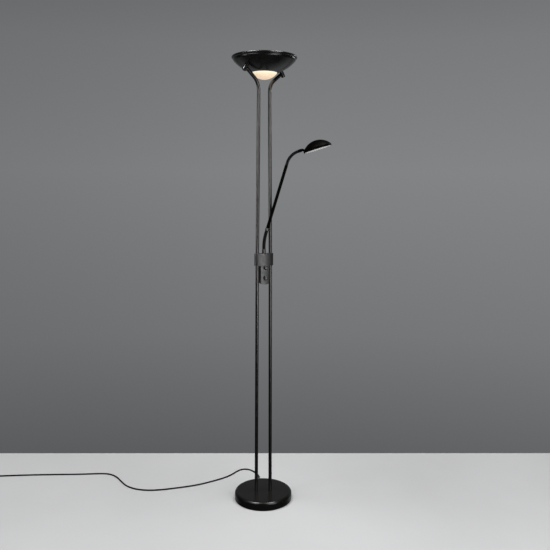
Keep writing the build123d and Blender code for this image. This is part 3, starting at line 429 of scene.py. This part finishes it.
def make_materials():
    """All materials of the lamp by name. Most names are those of the record's slots."""
    bowl_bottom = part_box("glass_bowl")[0].z
    disc_low, disc_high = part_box("head_diffuser")
    shaders = [
        # Satin black powder coat: faint orange peel, and a little dust on the colour
        coated(
            "black_steel", colours=(grey(0.004, 0.08), grey(0.006, 0.10)), mottle=(24.0, 5.0),
            rough=(0.20, 0.26), patches=(60.0, 4.0), depth=0.000006, grain=(450.0, 2.0),
            Specular_IOR_Level=0.5,
        ),
        # Satin black nickel on the upright tubes, a little lighter than the paint
        coated(
            "black_nickel", colours=(grey(0.095, 0.02), grey(0.12, 0.03)), mottle=(30.0, 5.0),
            rough=(0.28, 0.36), patches=(50.0, 4.0), depth=0.000003, grain=(450.0, 2.0), Metallic=1.0,
        ),
        # Matt black paint of the reading arm and its head, with a painted warm cast in its colour that stands in
        # for the bowl's warm light on them
        coated(
            "black_matte", colours=(grey(0.0008, 0.4), grey(0.0014, 0.4)), mottle=(40.0, 5.0),
            rough=(0.44, 0.54), patches=(120.0, 4.0), depth=0.000004, grain=(900.0, 2.0),
            Specular_IOR_Level=0.03,
        ),
        coated(
            "black_neck", colours=(grey(0.003, 0.04), grey(0.005, 0.05)), mottle=(180.0, 4.0),
            rough=(0.30, 0.42), patches=(300.0, 3.0), depth=0.000003, grain=(2600.0, 2.0),
            Specular_IOR_Level=0.16,
        ),
        # Moulded plastic with a fine spark-eroded grain
        coated(
            "black_plastic", colours=(grey(0.006), grey(0.009)), mottle=(40.0, 4.0),
            rough=(0.36, 0.48), patches=(90.0, 4.0), depth=0.000004, grain=(1400.0, 2.0), IOR=1.85,
        ),
        # Smoother and darker plastic of the two knobs
        coated(
            "knob_plastic", colours=(grey(0.002), grey(0.004)), mottle=(60.0, 4.0),
            rough=(0.16, 0.24), patches=(200.0, 4.0), depth=0.000002, grain=(1800.0, 2.0), IOR=1.6,
        ),
        coated(
            "cord_rubber", colours=(grey(0.002), grey(0.004)), mottle=(90.0, 4.0),
            rough=(0.42, 0.58), patches=(150.0, 4.0), depth=0.00001, grain=(1600.0, 3.0),
            Specular_IOR_Level=0.10,
        ),
        coated(
            "wire_rubber", colours=(grey(0.24), grey(0.32)), mottle=(120.0, 3.0),
            rough=(0.45, 0.6), patches=(200.0, 3.0), depth=0.00002, grain=(1500.0, 2.0),
        ),
        mottled(
            "cast_weight", colours=(grey(0.06), grey(0.13, 0.06)), mottle=(60.0, 8.0),
            rough=(0.65, 0.9), patches=(120.0, 5.0), depth=0.0003, grain=(400.0, 6.0), Metallic=0.6,
        ),
        mottled(
            "felt", colours=(grey(0.012), grey(0.05)), mottle=(700.0, 8.0),
            depth=0.0004, grain=(1500.0, 8.0, (1, 3, 1)), Roughness=0.95, Sheen_Weight=0.4,
        ),
        mottled(
            "zinc_steel", colours=(grey(0.42), grey(0.60, 0.02)), mottle=(220.0, 6.0),
            rough=(0.24, 0.42), patches=(500.0, 5.0), depth=0.00001, grain=(1800.0, 3.0), Metallic=1.0,
        ),
        turned_metal("pale_metal", 0.07, 0.10, 0.5),
        turned_metal("bright_ring", 0.12, 0.17, 0.8),
        turned_metal("pin_brass", 0.52, 0.66, 1.0),
        turned_metal("carrier_aluminium", 0.55, 0.65, 0.9),
        board("board_green", (0.01, 0.10, 0.04), (0.02, 0.16, 0.07)),
        board("board_white", grey(0.72), grey(0.80)),
        mottled(
            "led_yellow", colours=((0.9, 0.7, 0.25), (1.0, 0.85, 0.4)), mottle=(900.0, 2.0),
            rough=(0.2, 0.35), patches=(900.0, 3.0), depth=0.00001, grain=(2500.0, 3.0),
            Emission_Color=(1.0, 0.85, 0.6, 1.0), Emission_Strength=3.0,
        ),
        glowing(
            "frosted_glass", colours=((0.42, 0.36, 0.28), (0.46, 0.40, 0.31)),
            glow=((0.63, 0.46, 0.35), (0.77, 0.59, 0.39), (0.88, 0.87, 0.69)), strength=1.0,
            bottom=bowl_bottom, top=bowl_bottom + BOWL_SHOWN,
        ),
        glowing(
            "white_diffuser", colours=(grey(0.66), grey(0.72)),
            glow=(grey(0.9, 0.02), grey(1.0, 0.02)), strength=0.15, bottom=disc_low.z, top=disc_high.z,
        ),
    ]
    return {shader.name: shader.material for shader in shaders}


def paint(obj, material):
    obj.data.materials.clear()
    obj.data.materials.append(material)


# Flexible necks

arm_out = Vector((sine(ARM_AZIMUTH), -cosine(ARM_AZIMUTH), 0))
arm_side = Vector((cosine(ARM_AZIMUTH), sine(ARM_AZIMUTH), 0))


def leaning(degrees):
    """Direction in the arm's plane that leans outwards from upright."""
    return arm_out * sine(degrees) + Vector((0, 0, cosine(degrees)))


class NeckLine:
    """Centre line of a neck: straight, one arc about the bend joint's place, straight."""

    def __init__(self, corner, size):
        self.lean, self.turn = size["lean"], size["turn"]
        self.bend_r, self.foot = size["bend_r"], size["foot"]
        tangent = self.bend_r * math.tan(math.radians(self.turn / 2))
        self.bend_start = corner - leaning(self.lean) * tangent
        self.bend_end = corner + leaning(self.lean + self.turn) * tangent
        self.centre = self.bend_start + leaning(self.lean + 90) * self.bend_r
        self.arc = self.bend_r * math.radians(self.turn)
        self.length = self.foot + self.arc + size["top"]

    def at(self, along):
        """Place and direction at a length along the neck."""
        if along <= self.foot:
            return self.bend_start + leaning(self.lean) * (along - self.foot), self.lean
        if along >= self.foot + self.arc:
            lean = self.lean + self.turn
            return self.bend_end + leaning(lean) * (along - self.foot - self.arc), lean
        lean = self.lean + math.degrees((along - self.foot) / self.bend_r)
        return self.centre - leaning(lean + 90) * self.bend_r, lean


def add_neck(name, material):
    """Ribbed hose with round ribs, bent round the place of its joint."""
    size = NECKS[name]
    line = NeckLine(Vector(joints[name + "_neck_bend"]["pos_m"]), size)
    ribs = round((line.length - size["seat"] - size["end_seat"]) / RIB_PITCH)
    pitch = (line.length - size["seat"] - size["end_seat"]) / ribs
    stations = [(0.0, size["seat_r"]), (size["seat"], size["seat_r"])]
    for i in range(ribs * RIB_STEPS + 1):
        crown = math.sqrt(abs(math.sin(math.pi * i / RIB_STEPS)))
        stations.append((size["seat"] + pitch * i / RIB_STEPS, size["r"] - RIB_DEPTH * (1 - crown)))
    stations += [(line.length - size["end_seat"], size["end_r"]), (line.length, size["end_r"])]
    bm = bmesh.new()
    loops = []
    for along, radius in stations:
        place, lean = line.at(along)
        loops.append(ring_of(bm, place, arm_side, leaning(lean + 90), radius, HOSE_POINTS))
    bridge_all(bm, loops)
    neck = new_mesh(name + "_hose", bm)
    paint(neck, material)
    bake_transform(neck)
    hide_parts(name + "_neck", name + "_neck_lead")


# Felt pad and strain relief


def add_pad(material):
    """Felt disc under the base, with soft rounded edges."""
    low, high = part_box("base_pad")
    radius, thick = (high.x - low.x) / 2, high.z - low.z
    inner = [radius * share for share in PAD_RINGS]
    edge = [(0.5 - 0.5 * cosine(angle), 1 - sine(angle)) for angle in range(0, 181, PAD_EDGE_STEP)]
    profile = [(0.0, r) for r in inner]
    profile += [(thick * up, radius - thick / 2 * back) for up, back in edge]
    profile += [(thick, r) for r in reversed(inner)]
    bm = bmesh.new()
    x, y = Vector((1, 0, 0)), Vector((0, 1, 0))
    bridge_all(bm, [ring_of(bm, Vector((0, 0, low.z + z)), x, y, r, PAD_POINTS) for z, r in profile])
    pad = new_mesh("felt_pad", bm)
    paint(pad, material)
    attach(pad, "stand")
    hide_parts("base_pad")


def add_gland(material):
    """Tapered rubber strain relief with grooves round it, and its flange inside the base."""
    out = Vector((sine(GLAND_AZIMUTH), cosine(GLAND_AZIMUTH), 0))
    side = Vector((out.y, -out.x, 0))
    start, end = GLAND_TAPER
    start_r, end_r = GLAND_TAPER_R
    pitch = (end - start) / GLAND_GROOVES
    profile = GLAND_CORE + GLAND_FLANGE + GLAND_ROOT
    for i in range(GLAND_GROOVES):
        for share, depth in GLAND_GROOVE_FORM:
            along = start + pitch * (i + GLAND_GROOVE_START + share)
            taper = start_r + (end_r - start_r) * (along - start) / (end - start)
            profile.append((along, taper - GLAND_GROOVE_DEPTH * depth))
    profile += GLAND_TIP
    bm = bmesh.new()
    up = Vector((0, 0, 1))
    middle = up * GLAND_HEIGHT
    bridge_all(bm, [ring_of(bm, out * along + middle, side, up, r, GLAND_POINTS) for along, r in profile])
    bmesh.ops.recalc_face_normals(bm, faces=bm.faces)
    gland = new_mesh("strain_relief", bm)
    paint(gland, material)
    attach(gland, "stand")
    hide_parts("cord_gland")


# Cord


def coil_centre():
    """Middle of the coil, at the height where the cord comes in."""
    start_angle = -COIL_HEADING
    return Vector(CORD_ROUTE[-1]) - Vector((cosine(start_angle), sine(start_angle), 0)) * COIL_R


def coil_place(turn):
    """Point of the coil after a number of turns: in on the floor, up half a turn, and out on top."""
    start_angle = -COIL_HEADING
    centre = coil_centre()
    radius = COIL_R - COIL_PITCH * (COIL_TURNS / 2 - abs(turn - COIL_TURNS / 2))
    climb = min(max((turn - (COIL_TURNS - COIL_CLIMB) / 2) / COIL_CLIMB, 0), 1)
    height = COIL_LOW + COIL_PITCH * climb**2 * (3 - 2 * climb)
    angle = start_angle + 360 * turn
    # A spline of order 3 runs inside its points, so they stand out by what it cuts off
    drawn = radius / (0.75 + 0.25 * cosine(360 / COIL_POINTS_PER_TURN))
    return Vector((centre.x + drawn * cosine(angle), centre.y + drawn * sine(angle), height))


def rounded_loop(low, high, corner, steps):
    """Points of a rounded rectangle in a plane, given by its lowest and highest corners."""
    corners = [(high[0], high[1], 0), (low[0], high[1], 90), (low[0], low[1], 180), (high[0], low[1], 270)]
    points = []
    for x, y, start in corners:
        cx = x - corner if x == high[0] else x + corner
        cy = y - corner if y == high[1] else y + corner
        points += [
            (cx + corner * cosine(start + 90 * i / steps), cy + corner * sine(start + 90 * i / steps))
            for i in range(steps + 1)
        ]
    return points


def add_tie(material):
    """Flat strap round the coil's turns, opposite the place where the cord comes in."""
    around = CORD_DIAMETER / 2 + TIE_GAP
    low = (COIL_R - COIL_PITCH * COIL_TURNS / 2 - around, COIL_LOW - around)
    high = (COIL_R - COIL_PITCH / 2 + around, COIL_LOW + COIL_PITCH + around)
    angle = 180 - COIL_HEADING
    out = Vector((cosine(angle), sine(angle), 0))
    along = Vector((-out.y, out.x, 0))
    centre = coil_centre().to_2d().to_3d()
    bm = bmesh.new()

    def point(r, z, across):
        return bm.verts.new(centre + out * r + Vector((0, 0, z)) + along * across)

    half, bevel = TIE_WIDTH / 2, TIE_THICK / 3
    section = [(0, -half + bevel), (bevel, -half), (TIE_THICK - bevel, -half), (TIE_THICK, -half + bevel)]
    section += [(TIE_THICK, half - bevel), (TIE_THICK - bevel, half), (bevel, half), (0, half - bevel)]
    loops = []
    for thick, across in section:
        grown_low = (low[0] - thick, low[1] - thick)
        grown_high = (high[0] + thick, high[1] + thick)
        outline = rounded_loop(grown_low, grown_high, around + thick, TIE_CORNER_STEPS)
        loops.append([point(r, z, across) for r, z in outline])
    for first, second in zip(loops, loops[1:] + loops[:1]):
        bridge(bm, first, second)
    lap_from, lap_to = low[0] + around, high[0] - around + TIE_LAP_PAST_COIL
    lap_z = high[1] + TIE_THICK
    lap = [(half - bevel, 0.0), (half, bevel), (half, TIE_THICK - bevel), (half - bevel, TIE_THICK)]
    lap += [(-a, b) for a, b in reversed(lap)]
    ends = []
    for r, share in ((lap_from, TIE_TIP_SHARE), (lap_from + TIE_TIP_LENGTH, 1.0), (lap_to, 1.0)):
        ends.append([point(r, lap_z + up, across * share) for across, up in lap])
    bridge_all(bm, ends)
    bmesh.ops.recalc_face_normals(bm, faces=bm.faces)
    tie = new_mesh("cord_tie", bm)
    paint(tie, material)
    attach(tie, "stand")
    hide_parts("coil_tie")
    return tie


def add_cord(material, tie):
    """Mains cord from the gland over the floor, with its put-away coil and the tail to the plug."""
    heading = Vector((sine(COIL_HEADING), cosine(COIL_HEADING), 0))
    points = [Vector(p) for p in CORD_ROUTE]
    count = round(COIL_TURNS * COIL_POINTS_PER_TURN)
    points += [coil_place(COIL_TURNS * i / count) for i in range(1, count)]
    coil_top = Vector((CORD_ROUTE[-1][0], CORD_ROUTE[-1][1], COIL_LOW + COIL_PITCH))
    tail_end = coil_top + heading * (TAIL_STRAIGHT + TAIL_DROP + CORD_DIAMETER)
    tail_end.z = PLUG_HALF_THICK
    points += [coil_top, coil_top + heading * TAIL_STRAIGHT]
    points += [tail_end - heading * (TAIL_DROP / 2 + CORD_DIAMETER) + Vector((0, 0, TAIL_BOW))]
    points += [tail_end - heading * CORD_DIAMETER * 2, tail_end]
    curve = bpy.data.curves.new("cord", "CURVE")
    curve.dimensions = "3D"
    curve.bevel_depth = CORD_DIAMETER / 2
    curve.bevel_resolution = 6
    curve.resolution_u = 6
    curve.use_fill_caps = True
    spline = curve.splines.new("NURBS")
    spline.points.add(len(points) - 1)
    for target, point in zip(spline.points, points):
        target.co = (*point, 1.0)
    spline.order_u = 3
    spline.use_endpoint_u = True
    cord = link(bpy.data.objects.new("cord", curve))
    cord.data.materials.append(material)
    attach(cord, "stand")
    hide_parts("mains_cord", "cord_coil")


# Light


def add_area(name, place, target, size, power, spread=180.0):
    """Rectangular light that faces a target."""
    data = bpy.data.lights.new(name, "AREA")
    data.shape = "RECTANGLE"
    data.size, data.size_y = size
    data.energy = power
    data.spread = math.radians(spread)
    lamp = link(bpy.data.objects.new(name, data))
    lamp.location = place
    lamp.rotation_euler = (target - place).to_track_quat("-Z", "Y").to_euler()


def add_softbox(name, to_right, power):
    """Large light overhead, facing straight down."""
    place = seen_from_camera(to_right, SOFTBOX_TO_BACK, SOFTBOX_HEIGHT)
    add_area(name, place, place - Vector((0, 0, 1)), size=(SOFTBOX_SIZE, SOFTBOX_SIZE), power=power)


def add_side_light(name, place, aim, **values):
    """Light beside the lamp, placed as the camera sees it and aimed at a height on the lamp."""
    add_area(name, seen_from_camera(*place), Vector((0, 0, aim)), **values)


def add_lights():
    """Two softboxes overhead with a gap between them, keys on both sides, and a narrow light on each side."""
    add_softbox("left_top_softbox", -1.3, power=112)
    add_softbox("right_top_softbox", 1.3, power=100)
    add_side_light("right_low_key", (1.35, -1.86, 0.60), 0.60, size=(1.2, 0.68), power=11)
    add_side_light("right_high_key", (1.5, -1.75, 1.9), 1.75, size=(1.2, 1.2), power=15)
    add_side_light("left_high_key", (-1.5, -1.75, 1.95), 1.75, size=(1.4, 1.1), power=16)
    add_side_light("left_strip", (-2.1, -0.6, 1.15), 1.15, size=(0.5, 0.8), power=0.7, spread=60)
    add_side_light("right_rim", (1.75, 1.4, 2.0), 1.75, size=(0.5, 0.6), power=0.5, spread=60)


class Backdrop(Nodes):
    """Background of the world, built from ramps over its direction."""

    def __init__(self):
        world = bpy.data.worlds.new("studio")
        bpy.context.scene.world = world
        super().__init__(world)
        self.direction = self.node("ShaderNodeTexCoord").outputs["Generated"]

    def along(self, axis, tint, *stops):
        """Brightness that follows the share of the direction along an axis, by stops of (share, value)."""
        share = self.node("ShaderNodeVectorMath")
        share.operation = "DOT_PRODUCT"
        share.inputs[1].default_value = axis
        self.feed(share.inputs[0], self.direction)
        low, high = stops[0][0], stops[-1][0]
        source = self.span(share.outputs["Value"], low, high, 0.0, 1.0)
        return self.ramp(source, *[((at - low) / (high - low), grey(value, tint)) for at, value in stops])

    def mix(self, first, second):
        """Mix node for two colours."""
        mix = self.node("ShaderNodeMix")
        mix.data_type = "RGBA"
        self.feed(mix.inputs[MIX_FIRST], first)
        self.feed(mix.inputs[MIX_SECOND], second)
        return mix

    def times(self, first, second):
        """Product of two colours."""
        mix = self.mix(first, second)
        mix.blend_type = "MULTIPLY"
        mix.inputs["Factor"].default_value = 1.0
        return mix.outputs[MIX_RESULT]

    def show(self, seen, light):
        """Use one colour where the backdrop itself is looked at, and the other as light."""
        mix = self.mix(light, seen)
        self.feed(mix.inputs["Factor"], self.node("ShaderNodeLightPath").outputs["Is Camera Ray"])
        background = self.tree.nodes["Background"]
        self.feed(background.inputs["Color"], mix.outputs[MIX_RESULT])
        background.inputs["Strength"].default_value = 1.0


def add_world():
    """Grey studio backdrop, brightest at middle height. As light it comes mostly from behind the lamp."""
    backdrop = Backdrop()
    up, tint = Vector((0, 0, 1)), -0.03
    floor_glow = [(-0.55, 0.34), (-0.46, 0.3)]
    heights = [
        (-0.40, 0.105), (-0.22, 0.168), (0.02, 0.212), (0.2, 0.18), (0.26, 0.155), (0.45, 0.13), (0.62, 0.05)
    ]
    left_end = [(-1.0, 0.15), (-0.8, 0.45)]
    sides = [(-0.42, 0.87), (0.0, 1.05), (0.42, 1.1)]
    right_end = [(0.65, 1.0), (0.9, 0.5), (1.0, 0.2)]
    seen = backdrop.times(backdrop.along(up, tint, *heights), backdrop.along(right, 0.0, *sides))
    upright = backdrop.along(up, tint, *floor_glow, *heights)
    sideways = backdrop.along(right, 0.0, *left_end, *sides, *right_end)
    behind = backdrop.along(away, 0.0, (0.2, 0.12), (0.65, 1.0))
    light = backdrop.times(backdrop.times(upright, sideways), behind)
    backdrop.show(seen, light)


def main():
    bpy.context.scene.view_settings.view_transform = "Standard"
    add_camera()
    add_floor()
    add_world()
    add_lights()
    materials = make_materials()
    for name, obj in nodes.items():
        paint(obj, materials[slots[name]])
    for name in ("upper_knob", "lower_knob"):
        paint(nodes[name], materials["knob_plastic"])
    add_cord(materials["cord_rubber"], add_tie(materials[slots["coil_tie"]]))
    add_gland(materials["cord_rubber"])
    add_pad(materials["felt"])
    for name in NECKS:
        add_neck(name, materials["black_neck"])


main()
